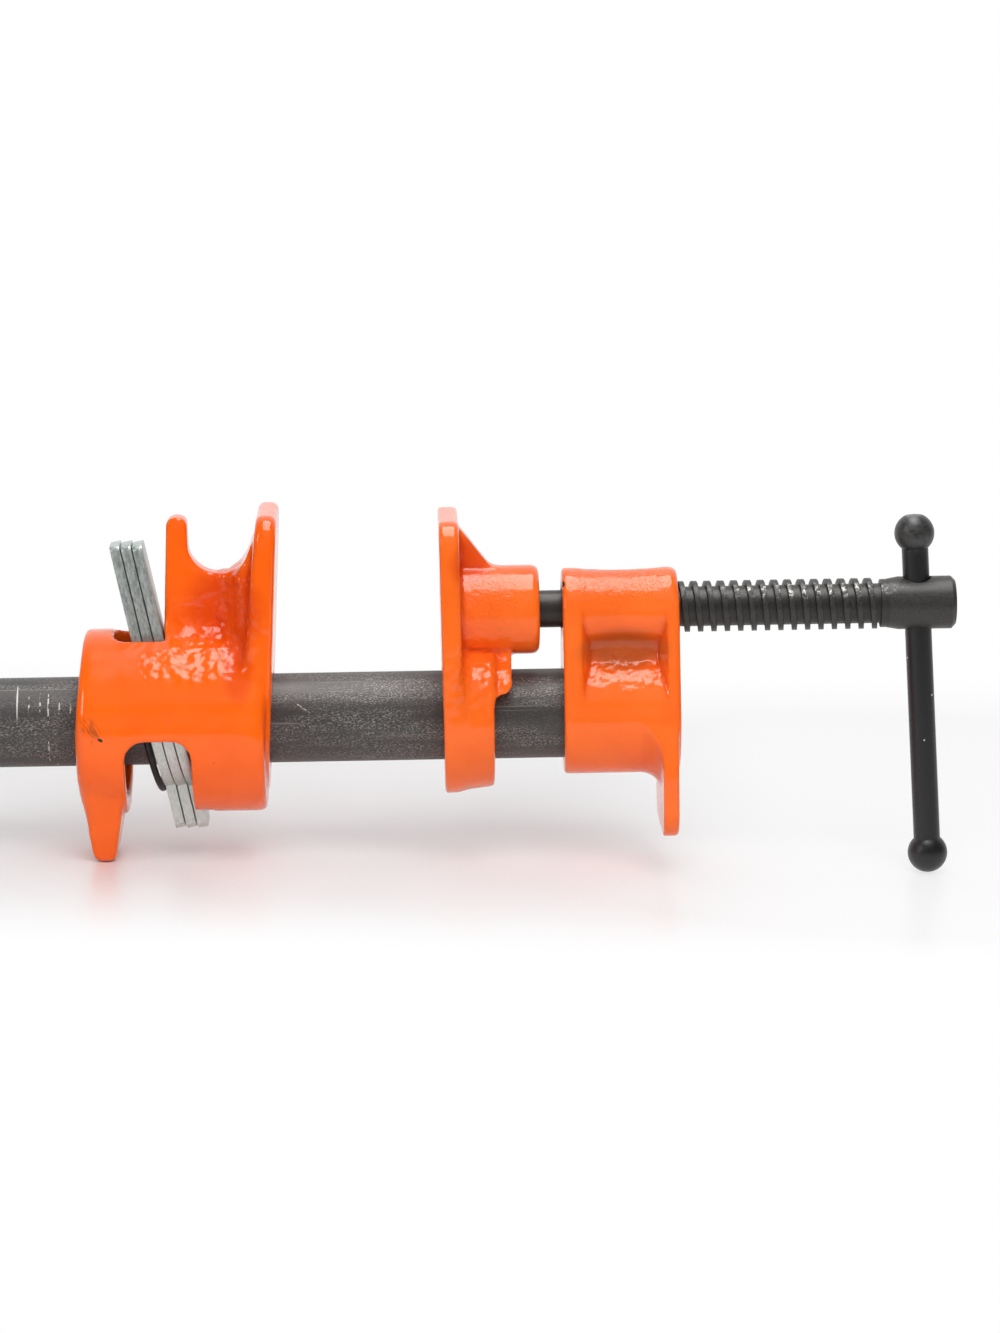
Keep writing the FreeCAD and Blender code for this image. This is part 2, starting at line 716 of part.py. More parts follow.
def make_horn_web():
    """The horn, and the web that joins it to the jaw under the finger saddle."""
    start = horn_rear_base
    base = web_base_height
    back = clutch_face - clutch_jaw_thickness / 2
    jaw_back = clutch_face - clutch_jaw_thickness
    side = -clutch_shell_radius
    radius = finger_saddle_radius
    centre = vec(finger_saddle_station, side, finger_saddle_bottom + radius)
    horn_angle = finger_saddle_horn_angle
    jaw_angle = finger_saddle_jaw_angle
    left = centre - vec(radius * cosine(horn_angle), 0, radius * sine(horn_angle))
    right = centre + vec(radius * cosine(jaw_angle), 0, -radius * sine(jaw_angle))
    bottom = centre - vec(0, 0, radius)
    ridge = vec(back, side, right.z + (back - right.x) / tangent(jaw_angle))
    outline = face_of([
        line(vec(start, side, base), vec(start, side, clutch_shell_radius)),
        line(vec(start, side, clutch_shell_radius), vec(horn_rear_top, side, horn_height)),
        line(vec(horn_rear_top, side, horn_height), vec(horn_front_top, side, horn_height)),
        line(vec(horn_front_top, side, horn_height), left),
        arc_about(centre, left, bottom),
        arc_about(centre, bottom, right),
        line(right, ridge),
        line(ridge, vec(back, side, base)),
        line(vec(back, side, base), vec(start, side, base)),
    ])
    profile = outline.extrude(Y_AXIS * (-2 * side))
    profile = fillet_where(profile, horn_top_round, lambda e: along(e, Y_AXIS)
                           and e.BoundBox.XMax < finger_saddle_station
                           and abs(e.BoundBox.ZMin - horn_height) < pick_margin)
    # Seen along the pipe, the web flares out to the shell with a hollow on each side.
    reach = clutch_shell_radius + web_flare
    out = horn_half + web_flare
    hollow_centre = vec(start, out, math.sqrt(reach ** 2 - out ** 2))
    touch = hollow_centre * (clutch_shell_radius / reach)
    touch.x = start
    waist = vec(start, horn_half, hollow_centre.z)
    high = vec(start, horn_half, 2 * horn_height)
    low = vec(start, touch.y, base)
    section = face_of([
        line(mirrored(high), high),
        line(high, waist),
        arc_about(hollow_centre, waist, touch),
        line(touch, low),
        line(low, mirrored(low)),
        line(mirrored(low), mirrored(touch)),
        arc_about(mirrored(hollow_centre), mirrored(touch), mirrored(waist)),
        line(mirrored(waist), mirrored(high)),
    ])
    web = section.extrude(X_AXIS * (back - start))
    # Seen from above, it flares out to the jaw's back as well.
    near = vec(jaw_back - web_flare, horn_half, base)
    wide = vec(jaw_back, horn_half + web_flare, base)
    flare_centre = vec(near.x, wide.y, base)
    end = vec(back, wide.y, base)
    plan = face_of([
        line(mirrored(near), near),
        arc_about(flare_centre, near, wide),
        line(wide, end),
        line(end, mirrored(end)),
        line(mirrored(end), mirrored(wide)),
        arc_about(mirrored(flare_centre), mirrored(wide), mirrored(near)),
    ])
    gusset = plan.extrude(Z_AXIS * horn_height)
    return profile.common(web.fuse(gusset))


def make_arch():
    """The cutter for the opening across the clamp, between the rear ring and the collar."""
    cutter = block(clutch_ring_front, clutch_collar_rear, clutch_shell_radius + overrun,
                   foot_bottom - overrun, arch_top)
    return fillet_where(cutter, arch_corner, lambda e: along(e, Y_AXIS)
                        and e.BoundBox.ZMin > arch_top - pick_margin)


def make_plate_slot():
    """The cutter for the slot that the plates' tabs stand in; its front wall leans with them."""
    side = -plate_slot_half
    high = clutch_shell_radius + overrun
    undercut = horn_rear_base + (plate_slot_floor - clutch_shell_radius) * plate_slope()
    cutter = polygon_face([
        vec(plate_slot_rear, side, plate_slot_floor),
        vec(undercut, side, plate_slot_floor),
        vec(horn_rear_base, side, clutch_shell_radius),
        vec(horn_rear_base, side, high),
        vec(plate_slot_rear, side, high),
    ]).extrude(Y_AXIS * (2 * plate_slot_half))
    return fillet_where(cutter, plate_slot_corner, lambda e: along(e, Z_AXIS)
                        and e.BoundBox.XMax < plate_slot_rear + pick_margin)


def make_tongue_notch():
    """The cutter for the notch under the collar, where the plates' tongues come through."""
    end = plate_front_station(plate_tongue_bottom) + tongue_notch_clearance
    return block(clutch_ring_front, end, tongue_notch_half,
                 -clutch_shell_radius - overrun, -plate_hole_radius)


def make_clutch_plate(place):
    """One plate, drawn square to the pipe and then tilted about its bearing line at the slot."""
    front = horn_rear_base - plate_bearing_gap - place * plate_pitch()
    back = front - plate_thickness
    bearing = vec(front, 0, clutch_shell_radius)

    def disc(radius):
        return Part.makeCylinder(radius, plate_thickness, vec(back, 0, plate_hole_offset), X_AXIS)

    tab = block(back, front, plate_tab_half, 0, plate_tab_top)
    tab = fillet_where(tab, plate_tab_corner, lambda e: along(e, X_AXIS)
                       and e.BoundBox.ZMin > plate_tab_top - pick_margin)
    tongue = block(back, front, plate_tongue_half, plate_tongue_bottom, 0)
    tongue = tongue.makeChamfer(plate_tongue_corner, [
        e for e in tongue.Edges if along(e, X_AXIS)
        and e.BoundBox.ZMax < plate_tongue_bottom + pick_margin])
    plate = disc(plate_body_radius).fuse([tab, tongue]).cut(disc(plate_hole_radius)).removeSplitter()
    plate.translate(vec(0, 0, clutch_shell_radius - clutch_shell_radius / cosine(plate_tilt)))
    plate.rotate(bearing, Y_AXIS, -plate_tilt)
    return plate


def spring_frame(angle):
    """A point of the coil's middle line and its direction, at an angle from the top."""
    up = spring_coil_radius * cosine(angle)
    side = spring_coil_radius * sine(angle)
    seat = clutch_ring_front - clutch_spring_seat + spring_wire_radius + spring_lift
    lean = plate_slope()
    rear_back = (plate_front_station(0) - 2 * plate_pitch()
                 - (plate_thickness + spring_lift + spring_wire_radius) / cosine(plate_tilt))
    share = (angle - spring_cross_start_angle) / (spring_cross_end_angle - spring_cross_start_angle)
    share = min(max(share, 0), 1)
    blend = share * share * (3 - 2 * share)
    rate = 6 * share * (1 - share) / math.radians(spring_cross_end_angle - spring_cross_start_angle)
    leaning = rear_back + up * lean
    station = seat + (leaning - seat) * blend
    direction = vec((leaning - seat) * rate - side * lean * blend, up, -side)
    return vec(station, side, up), direction.normalize()


def biarc(start, start_way, end, end_way):
    """Two arcs that leave one point and reach another in given directions."""
    chord = end - start
    both = start_way + end_way
    turning = 2 * (1 - start_way.dot(end_way))
    along_both = chord.dot(both)
    reach = (math.sqrt(along_both ** 2 + turning * chord.dot(chord)) - along_both) / turning
    first = start + start_way * reach
    last = end - end_way * reach
    join = (first + last) / 2
    return [arc_by_corner(start, first, join), arc_by_corner(join, last, end)]


def arc_by_corner(a, corner, b):
    """The arc from a to b whose end tangents meet at the corner."""
    half_turn = (corner - a).getAngle(b - corner) / 2
    size = (corner - a).Length / math.tan(half_turn)
    inward = ((a + b) / 2 - corner).normalize()
    middle = corner + inward * (size / math.cos(half_turn) - size)
    return Part.Arc(a, middle, b).toShape()


def make_clutch_spring():
    """One wire: a turn seated in the rear ring, crossing over to a turn against the rear plate."""
    frames = [spring_frame(spring_start_angle + quarter * square_angle)
              for quarter in range(spring_quarters + 1)]
    edges = []
    for (start, start_way), (end, end_way) in zip(frames, frames[1:]):
        edges += biarc(start, start_way, end, end_way)
    print("clutch_spring least gap to itself", round(spring_self_gap(edges), 2))
    first, way = frames[0]
    section = Part.Wire([Part.makeCircle(spring_wire_radius, first, way)])
    sweep = Part.BRepOffsetAPI.MakePipeShell(Part.Wire(edges))
    sweep.add(section)
    sweep.build()
    sweep.makeSolid()
    return sweep.shape()


def spring_self_gap(edges):
    """The least gap between parts of the wire that are half a turn or more apart along it."""
    points = []
    for edge in edges:
        points += edge.discretize(spring_gap_steps)
    lap = 2 * math.pi * spring_coil_radius
    run = [0]
    for a, b in zip(points, points[1:]):
        run.append(run[-1] + a.distanceToPoint(b))
    least = min(a.distanceToPoint(b) for i, a in enumerate(points)
                for j, b in enumerate(points[:i]) if run[i] - run[j] > lap / 2)
    return least - 2 * spring_wire_radius


# The origin lies under the middle of the whole clamp, on the level of its lowest point.
middle_station = (pipe_in_head - pipe_length + hub_end) / 2
lowest = screw_height - lower_ball_depth * cosine(handle_lean) - handle_ball_radius
stand = vec(-middle_station, 0, -lowest)

pieces = {
    "pipe": make_pipe,
    "head_casting": make_head_casting,
    "sliding_jaw_casting": make_sliding_jaw_casting,
    "spindle_washer": make_spindle_washer,
    "spindle_retaining_ring": make_spindle_retaining_ring,
    "spindle_screw": make_spindle_screw,
    "handle_bar": make_handle_bar,
    "handle_end_ball": make_handle_end_ball,
    "clutch_casting": make_clutch_casting,
    "clutch_plate_front": lambda: make_clutch_plate(0),
    "clutch_plate_middle": lambda: make_clutch_plate(1),
    "clutch_plate_rear": lambda: make_clutch_plate(2),
    "clutch_spring": make_clutch_spring,
}

print("stand", stand)
os.makedirs("parts", exist_ok=True)
for name, make in pieces.items():
    shape = make()
    shape.translate(stand)
    print(name, "solids", len(shape.Solids), "valid", shape.isValid(), "volume", round(shape.Volume, 1))
    shape.exportStep("parts/" + name + ".step")
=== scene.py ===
"""Woodworking pipe clamp: looks, floor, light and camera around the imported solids."""
import json
import math

import bpy
import numpy as np
from mathutils import Matrix, Vector

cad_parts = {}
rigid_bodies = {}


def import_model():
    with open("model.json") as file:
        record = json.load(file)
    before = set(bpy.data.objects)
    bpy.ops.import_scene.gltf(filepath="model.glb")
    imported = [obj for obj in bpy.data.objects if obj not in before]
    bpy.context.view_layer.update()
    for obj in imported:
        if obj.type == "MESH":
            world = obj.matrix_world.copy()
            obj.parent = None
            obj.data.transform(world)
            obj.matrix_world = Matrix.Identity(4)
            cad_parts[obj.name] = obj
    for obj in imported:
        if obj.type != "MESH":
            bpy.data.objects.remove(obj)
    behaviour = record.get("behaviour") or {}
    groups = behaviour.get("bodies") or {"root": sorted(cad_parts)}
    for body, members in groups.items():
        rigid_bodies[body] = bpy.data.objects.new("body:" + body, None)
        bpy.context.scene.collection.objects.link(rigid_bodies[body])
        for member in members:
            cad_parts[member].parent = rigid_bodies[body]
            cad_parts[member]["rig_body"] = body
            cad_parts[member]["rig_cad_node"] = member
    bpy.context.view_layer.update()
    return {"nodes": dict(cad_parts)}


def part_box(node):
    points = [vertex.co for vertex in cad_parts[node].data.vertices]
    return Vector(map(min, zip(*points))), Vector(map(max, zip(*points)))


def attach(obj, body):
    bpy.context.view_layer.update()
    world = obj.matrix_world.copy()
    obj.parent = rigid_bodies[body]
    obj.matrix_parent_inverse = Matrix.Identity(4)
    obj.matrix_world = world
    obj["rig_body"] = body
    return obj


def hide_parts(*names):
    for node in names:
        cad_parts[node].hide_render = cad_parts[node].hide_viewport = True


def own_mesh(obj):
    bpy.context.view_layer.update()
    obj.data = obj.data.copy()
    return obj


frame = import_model()
nodes = frame["nodes"]

# Stage: a pale sweep of board that the clamp lies on. It touches the tail stop's foot and the
# handle's lower ball, so it falls a little towards the handle. Daylight-white soft boxes stand
# above, in front, to the left and to the right, and everything beyond the board is white.
foot_inset = 0.0071
ball_inset = 0.006
tail_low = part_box("clutch_casting")[0]
ball_low, ball_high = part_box("handle_bar")
foot_x = tail_low.x + foot_inset
ball_x = ball_high.x - ball_inset
floor_fall = math.atan2(tail_low.z - ball_low.z, ball_x - foot_x)
board_left = -0.75
board_right = 0.85
board_front = -0.30
board_back = 0.95
board_gap = 0.0002
board_cuts = 7
board_middle = ((board_left + board_right) / 2, (board_front + board_back) / 2, 0)
bpy.ops.object.select_all(action="DESELECT")
bpy.ops.mesh.primitive_plane_add(size=1, location=board_middle, scale=(1, 1, 1))
board = bpy.context.object
board.name = "board"
board.data.transform(Matrix.Diagonal((board_right - board_left, board_back - board_front, 1, 1)))
board.data.transform(Matrix.Translation(board.location))
board.location = (0, 0, 0)
bpy.ops.object.mode_set(mode="EDIT")
bpy.ops.mesh.select_all(action="SELECT")
bpy.ops.mesh.subdivide(number_cuts=board_cuts)
bpy.ops.object.mode_set(mode="OBJECT")
board.data.transform(Matrix.Translation((-ball_x, 0, 0)))
board.data.transform(Matrix.Rotation(floor_fall, 4, "Y"))
board.data.transform(Matrix.Translation((ball_x, 0, ball_low.z - board_gap)))


def math_in(tree, operation, a, b=None):
    """One sum; a and b are each a socket or a number."""
    step = tree.nodes.new("ShaderNodeMath")
    step.operation = operation
    for socket, value in zip(step.inputs, (a, b)):
        if isinstance(value, (int, float)):
            socket.default_value = value
        elif value is not None:
            tree.links.new(value, socket)
    return step.outputs["Value"]


def range_in(tree, value, low, high, to_low=0.0, to_high=1.0):
    """A soft step: where the value goes from low to high, the result goes from to_low to to_high."""
    step = tree.nodes.new("ShaderNodeMapRange")
    step.interpolation_type = "SMOOTHSTEP"
    for label, number in (("From Min", low), ("From Max", high), ("To Min", to_low), ("To Max", to_high)):
        step.inputs[label].default_value = number
    tree.links.new(value, step.inputs["Value"])
    return step.outputs["Result"]


def side_in(tree, where, side):
    """How far a place is along X, Y or Z."""
    parted = tree.nodes.new("ShaderNodeSeparateXYZ")
    tree.links.new(where, parted.inputs[0])
    return parted.outputs[side]


def new_look(name, gloss_values):
    """A material with its Principled shader's constants set; returns it, its tree and shader."""
    look = bpy.data.materials.new(name)
    look.use_nodes = True
    shader = look.node_tree.nodes["Principled BSDF"]
    for label, value in gloss_values.items():
        shader.inputs[label].default_value = value
    return look, look.node_tree, shader


def mix_shaders(tree, share, first, second, end):
    """Lays the second shader over the first by its share, and ends the tree with both."""
    both = tree.nodes.new("ShaderNodeMixShader")
    tree.links.new(share, both.inputs["Fac"])
    tree.links.new(first, both.inputs[1])
    tree.links.new(second, both.inputs[2])
    tree.links.new(both.outputs["Shader"], end.inputs["Surface"])


board_look, tree, gloss = new_look("pale_board", {
    "Base Color": (0.86, 0.85, 0.853, 1), "Roughness": 0.32, "Specular IOR Level": 0.35})
place = tree.nodes.new("ShaderNodeTexCoord").outputs["Object"]
# The board fades to white: along which side, from where to where in metres, and by what share.
fades = (("Y", -0.035, -0.12, 1.0), ("Y", 0.09, 0.36, 1.0), ("X", 0.07, 0.16, 0.7),
         ("X", 0.32, 0.60, 1.0), ("X", -0.30, -0.60, 1.0))
white_share = 0.0
for side, start_at, full_at, most in fades:
    faded = range_in(tree, side_in(tree, place, side), start_at, full_at, 0.0, most)
    white_share = math_in(tree, "MAXIMUM", faded, white_share)
path = tree.nodes.new("ShaderNodeLightPath")
seen = math_in(tree, "MAXIMUM", path.outputs["Is Camera Ray"], path.outputs["Is Glossy Ray"])
white = tree.nodes.new("ShaderNodeEmission")
white.inputs["Color"].default_value = (1, 1, 1, 1)
mix_shaders(tree, math_in(tree, "MULTIPLY", white_share, seen), gloss.outputs["BSDF"],
            white.outputs["Emission"], tree.nodes["Material Output"])
board.data.materials.append(board_look)

# The room's back wall is bright, and its front, behind the camera, is dim.
room_back = (0, 0.95, 0.10)
room_dim = 0.07
world = bpy.data.worlds.new("white_room")
bpy.context.scene.world = world
world.use_nodes = True
tree = world.node_tree
room = tree.nodes["Background"]
room.inputs["Color"].default_value = (0.97, 0.98, 1.0, 1)
way = tree.nodes.new("ShaderNodeTexCoord")
lit_side = tree.nodes.new("ShaderNodeVectorMath")
lit_side.operation = "DOT_PRODUCT"
lit_side.inputs[1].default_value = room_back
tree.links.new(way.outputs["Generated"], lit_side.inputs[0])
wall = range_in(tree, lit_side.outputs["Value"], 0.05, 0.80, room_dim, 1.0)
tree.links.new(wall, room.inputs["Strength"])
beyond = tree.nodes.new("ShaderNodeBackground")
beyond.inputs["Color"].default_value = (1, 1, 1, 1)
path = tree.nodes.new("ShaderNodeLightPath")
straight = math_in(tree, "MAXIMUM", path.outputs["Is Camera Ray"], path.outputs["Is Transmission Ray"])
tree.links.new(math_in(tree, "MAXIMUM", straight, wall), beyond.inputs["Strength"])
seen = math_in(tree, "MAXIMUM", straight, path.outputs["Is Glossy Ray"])
mix_shaders(tree, seen, room.outputs["Background"], beyond.outputs["Background"],
            tree.nodes["World Output"])

# Each soft box has its spot, where it looks, its width and height, its power, whether it lights
# surfaces and whether it shows in gloss. The two glows show in gloss alone.
clamp_middle = (0.05, 0, 0.04)
soft_boxes = {
    "key_box": ((0.20, -0.90, 1.0), clamp_middle, 0.8, 0.8, 10.6, True, False),
    "front_box": ((0.0, -1.30, 0.25), clamp_middle, 0.9, 0.5, 3.6, True, False),
    "sky_box": ((0.05, 0.0, 1.05), (0.05, 0.05, 0), 0.8, 0.8, 2.8, True, False),
    "left_box": ((-0.95, -0.60, 0.50), clamp_middle, 0.7, 0.7, 2.4, True, False),
    "right_box": ((0.95, -0.75, 0.55), clamp_middle, 0.7, 0.7, 1.6, True, False),
    "top_glow": ((0.135, -0.06, 0.92), (0.135, -0.02, 0), 0.43, 0.78, 7.8, False, True),
    "left_glow": ((-0.80, -0.62, 0.55), clamp_middle, 0.16, 0.5, 2.6, False, True),
}
for name, (spot, aim, width, height, power, lighting, mirrored) in soft_boxes.items():
    lamp = bpy.data.lights.new(name, "AREA")
    lamp.shape = "RECTANGLE"
    lamp.size = width
    lamp.size_y = height
    lamp.energy = power
    box = bpy.data.objects.new(name, lamp)
    box.location = spot
    box.rotation_euler = (Vector(aim) - Vector(spot)).to_track_quat("-Z", "Y").to_euler()
    box.visible_diffuse = lighting
    box.visible_glossy = mirrored
    bpy.context.scene.collection.objects.link(box)

# Camera: a long lens from the clamp's front, a little above it, rolled slightly. The picture is
# 1000 x 1333, and the head's jaw side on the pipe's axis stands at its named place in it.
picture_width = 1000
picture_height = 1333
focus_px = 4625.08
camera_distance = 1.386
look_down = math.radians(9.8)
look_aside = math.radians(1.08)
roll = math.radians(-0.82)
head_face_px = (562.7, 712.64)
head_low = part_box("head_casting")[0]
pipe_low, pipe_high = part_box("pipe")
target = Vector((head_low.x, 0, (pipe_low.z + pipe_high.z) / 2))
turn = (Matrix.Rotation(-look_aside, 4, "Z") @ Matrix.Rotation(math.pi / 2 - look_down, 4, "X")
        @ Matrix.Rotation(roll, 4, "Z"))
ray = turn @ Vector(((head_face_px[0] - picture_width / 2) / focus_px,
                     -(head_face_px[1] - picture_height / 2) / focus_px, -1))
lens = bpy.data.cameras.new("long_lens")
lens.sensor_width = 36
lens.lens = focus_px * lens.sensor_width / picture_height
lens.clip_end = 20
camera = bpy.data.objects.new("camera", lens)
camera.matrix_world = Matrix.Translation(target - ray * camera_distance) @ turn
bpy.context.scene.collection.objects.link(camera)
bpy.context.scene.camera = camera
bpy.context.scene.view_settings.view_transform = "Standard"


# Castings: the tail stop, the sliding jaw and the head are grey iron, sand cast, with soft edges.
# The hollows keep the sand's lumps. Each is dipped in glossy orange enamel, chipped to dark spots
# here and there. The hollows are painted deeper orange, partly pooled enamel, partly painted shade.
weld_distance = 0.000002


def new_copy(node, name):
    """A merged copy of a CAD node's mesh, as a piece of its own, selected and active."""
    piece = nodes[node].copy()
    piece.data = nodes[node].data.copy()
    piece.name = name
    piece.parent = None
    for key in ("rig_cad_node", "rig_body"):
        del piece[key]
    bpy.context.scene.collection.objects.link(piece)
    bpy.ops.object.select_all(action="DESELECT")
    piece.select_set(True)
    bpy.context.view_layer.objects.active = piece
    piece.data.materials.clear()
    bpy.ops.object.mode_set(mode="EDIT")
    bpy.ops.mesh.select_all(action="SELECT")
    bpy.ops.mesh.remove_doubles(threshold=weld_distance)
    bpy.ops.object.mode_set(mode="OBJECT")
    bpy.ops.mesh.customdata_custom_splitnormals_clear()
    return piece


def points_of(piece):
    spots = np.zeros(len(piece.data.vertices) * 3, np.float32)
    piece.data.vertices.foreach_get("co", spots)
    return spots.reshape(-1, 3)


def soften(piece, passes, where=""):
    """Rounds the edges as a sand mould does, all over or in one vertex group."""
    smooth = piece.modifiers.new("soften", "SMOOTH")
    smooth.factor = 0.5
    smooth.iterations = passes
    smooth.vertex_group = where
    bpy.ops.object.modifier_apply(modifier=smooth.name)


weight_steps = 8


def weigh(piece, name, shares):
    """A vertex group with each point's share, in steps of an eighth."""
    weights = piece.vertex_groups.new(name=name)
    for step in range(1, weight_steps + 1):
        chosen = np.nonzero((shares > (step - 1) / weight_steps) & (shares <= step / weight_steps))[0]
        weights.add([int(i) for i in chosen], step / weight_steps, "REPLACE")
    return weights.name


def near(spots, places):
    """Each point's share of the places: 1 within 0.6 of their reach, and 0 from 1.1 of it on."""
    share = np.zeros(len(spots))
    for centre, reach in places:
        away = np.hypot((spots[:, 0] - centre[0]) / reach[0], (spots[:, 2] - centre[1]) / reach[1])
        share = np.maximum(share, np.clip(2.2 - 2 * away, 0, 1))
    return share


def new_group(name, inputs, outputs):
    """A shader node group with named sockets; returns the tree and its two end nodes."""
    group = bpy.data.node_groups.new(name, "ShaderNodeTree")
    for label, kind, value in inputs:
        socket = group.interface.new_socket(label, in_out="INPUT", socket_type=kind)
        if value is not None:
            socket.default_value = value
    for label, kind in outputs:
        group.interface.new_socket(label, in_out="OUTPUT", socket_type=kind)
    return group, group.nodes.new("NodeGroupInput"), group.nodes.new("NodeGroupOutput")


def noise_in(tree, where, scale, detail=3.0, roughness=0.55):
    noise = tree.nodes.new("ShaderNodeTexNoise")
    noise.inputs["Scale"].default_value = scale
    noise.inputs["Detail"].default_value = detail
    noise.inputs["Roughness"].default_value = roughness
    tree.links.new(where, noise.inputs["Vector"])
    return noise.outputs["Fac"]


def laid_in(tree, where, centre=(0, 0, 0), turn=0.0, stretch=(1, 1, 1)):
    """The same place from a pattern's own centre, turned about Y and stretched."""
    laid = tree.nodes.new("ShaderNodeMapping")
    laid.vector_type = "TEXTURE"
    laid.inputs["Location"].default_value = centre
    laid.inputs["Rotation"].default_value = (0, turn, 0)
    laid.inputs["Scale"].default_value = stretch
    tree.links.new(where, laid.inputs["Vector"])
    return laid.outputs["Vector"]


def length_in(tree, where):
    length = tree.nodes.new("ShaderNodeVectorMath")
    length.operation = "LENGTH"
    tree.links.new(where, length.inputs[0])
    return length.outputs["Value"]


def mix_in(tree, share, a, b):
    """Mixes two colours; each is a socket or four numbers."""
    mix = tree.nodes.new("ShaderNodeMix")
    mix.data_type = "RGBA"
    for socket, value in ((mix.inputs[0], share), (mix.inputs[6], a), (mix.inputs[7], b)):
        if isinstance(value, (tuple, float, int)):
            socket.default_value = value
        else:
            tree.links.new(value, socket)
    return mix.outputs[2]


def bump_in(tree, shader, height, distance, strength=1.0):
    bump = tree.nodes.new("ShaderNodeBump")
    bump.inputs["Distance"].default_value = distance
    bump.inputs["Strength"].default_value = strength
    tree.links.new(height, bump.inputs["Height"])
    tree.links.new(bump.outputs["Normal"], shader.inputs["Normal"])


group, start, end = new_group(
    "specks", [("Vector", "NodeSocketVector", None), ("Scale", "NodeSocketFloat", 300.0),
               ("Size", "NodeSocketFloat", 0.12), ("Share", "NodeSocketFloat", 0.2)],
    [("Mask", "NodeSocketFloat")])
cells = group.nodes.new("ShaderNodeTexVoronoi")
group.links.new(start.outputs["Vector"], cells.inputs["Vector"])
group.links.new(start.outputs["Scale"], cells.inputs["Scale"])
small = math_in(group, "LESS_THAN", cells.outputs["Distance"], start.outputs["Size"])
split = group.nodes.new("ShaderNodeSeparateColor")
group.links.new(cells.outputs["Color"], split.inputs["Color"])
rare = math_in(group, "LESS_THAN", split.outputs["Red"], start.outputs["Share"])
group.links.new(math_in(group, "MULTIPLY", small, rare), end.inputs["Mask"])
specks = group


def specks_in(tree, where, scale, size, share):
    step = tree.nodes.new("ShaderNodeGroup")
    step.node_tree = specks
    tree.links.new(where, step.inputs["Vector"])
    for label, value in (("Scale", scale), ("Size", size), ("Share", share)):
        step.inputs[label].default_value = value
    return step.outputs["Mask"]


group, start, end = new_group(
    "soft_patch", [("Vector", "NodeSocketVector", None), ("Centre", "NodeSocketVector", (0, 0, 0)),
                   ("Turn", "NodeSocketVector", (0, 0, 0)), ("Reach", "NodeSocketVector", (1, 1, 1))],
    [("Mask", "NodeSocketFloat")])
centred = group.nodes.new("ShaderNodeMapping")
centred.vector_type = "TEXTURE"
for label, socket in (("Vector", "Vector"), ("Centre", "Location"), ("Turn", "Rotation"),
                      ("Reach", "Scale")):
    group.links.new(start.outputs[label], centred.inputs[socket])
away = length_in(group, centred.outputs["Vector"])
group.links.new(range_in(group, away, 1.0, 0.45), end.inputs["Mask"])
soft_patch = group


def patch_in(tree, where, centre, reach, turn=0.0):
    """A soft-edged place in metres: its centre, how far it reaches and its turn about Y."""
    step = tree.nodes.new("ShaderNodeGroup")
    step.node_tree = soft_patch
    tree.links.new(where, step.inputs["Vector"])
    step.inputs["Centre"].default_value = centre
    step.inputs["Turn"].default_value = (0, turn, 0)
    step.inputs["Reach"].default_value = reach
    return step.outputs["Mask"]


orange = (0.98, 0.132, 0.004, 1)
orange_painted_lit = (0.94, 0.150, 0.013, 1)
orange_deep = (0.60, 0.030, 0.001, 1)
chip_dark = (0.03, 0.012, 0.008, 1)
scuff_and_shade_brown = (0.20, 0.055, 0.018, 1)
enamel, tree, shader = new_look("orange_enamel", {
    "IOR": 1.5, "Coat Weight": 0.33, "Coat Roughness": 0.03, "Specular IOR Level": 0.25})
place = tree.nodes.new("ShaderNodeTexCoord").outputs["Object"]
hollow = tree.nodes.new("ShaderNodeAttribute")
hollow.attribute_name = "hollow"
sandy = tree.nodes.new("ShaderNodeAttribute")
sandy.attribute_name = "sandy"
cloud = noise_in(tree, place, 60.0)
# Painted light: the jaw and the head, to the right, are painted a lighter orange than the tail stop,
# as though more light fell from that side.
right_lit_orange = mix_in(tree, range_in(tree, side_in(tree, place, "X"), 0.005, 0.035), orange, orange_painted_lit)
drift = mix_in(tree, range_in(tree, cloud, 0.3, 0.7, 0.0, 0.15), right_lit_orange, orange_deep)
# The hollows are painted deeper orange: partly pooled enamel, partly painted shade in creases and
# fillets.
pooled_and_shaded = mix_in(tree, math_in(tree, "MULTIPLY", hollow.outputs["Fac"], 0.8), drift, orange_deep)
# Painted shade: the web under the finger saddle, the crease beside it and the sliding jaw's rib are
# painted deeper orange, and the head's valley brown, where shade falls. Each place has its centre, its
# reach and its share.
painted_shade_places = (((-0.0220, 0, 0.0860), (0.0150, 1, 0.0150), 0.55),
                ((-0.0185, 0, 0.0700), (0.0060, 1, 0.0130), 0.45),
                ((0.0510, 0, 0.0990), (0.0085, 1, 0.0085), 0.50))
for centre, reach, share in painted_shade_places:
    painted_shade = math_in(tree, "MULTIPLY", patch_in(tree, place, centre, reach), share)
    pooled_and_shaded = mix_in(tree, painted_shade, pooled_and_shaded, orange_deep)
# Painted shade: the head's valley under the screw barrel is painted brown.
valley_shade_place = ((0.0955, 0, 0.0712), (0.0165, 1, 0.0080))
valley_shade = math_in(tree, "MULTIPLY", patch_in(tree, place, *valley_shade_place), 0.62)
pooled_and_shaded = mix_in(tree, valley_shade, pooled_and_shaded, scuff_and_shade_brown)
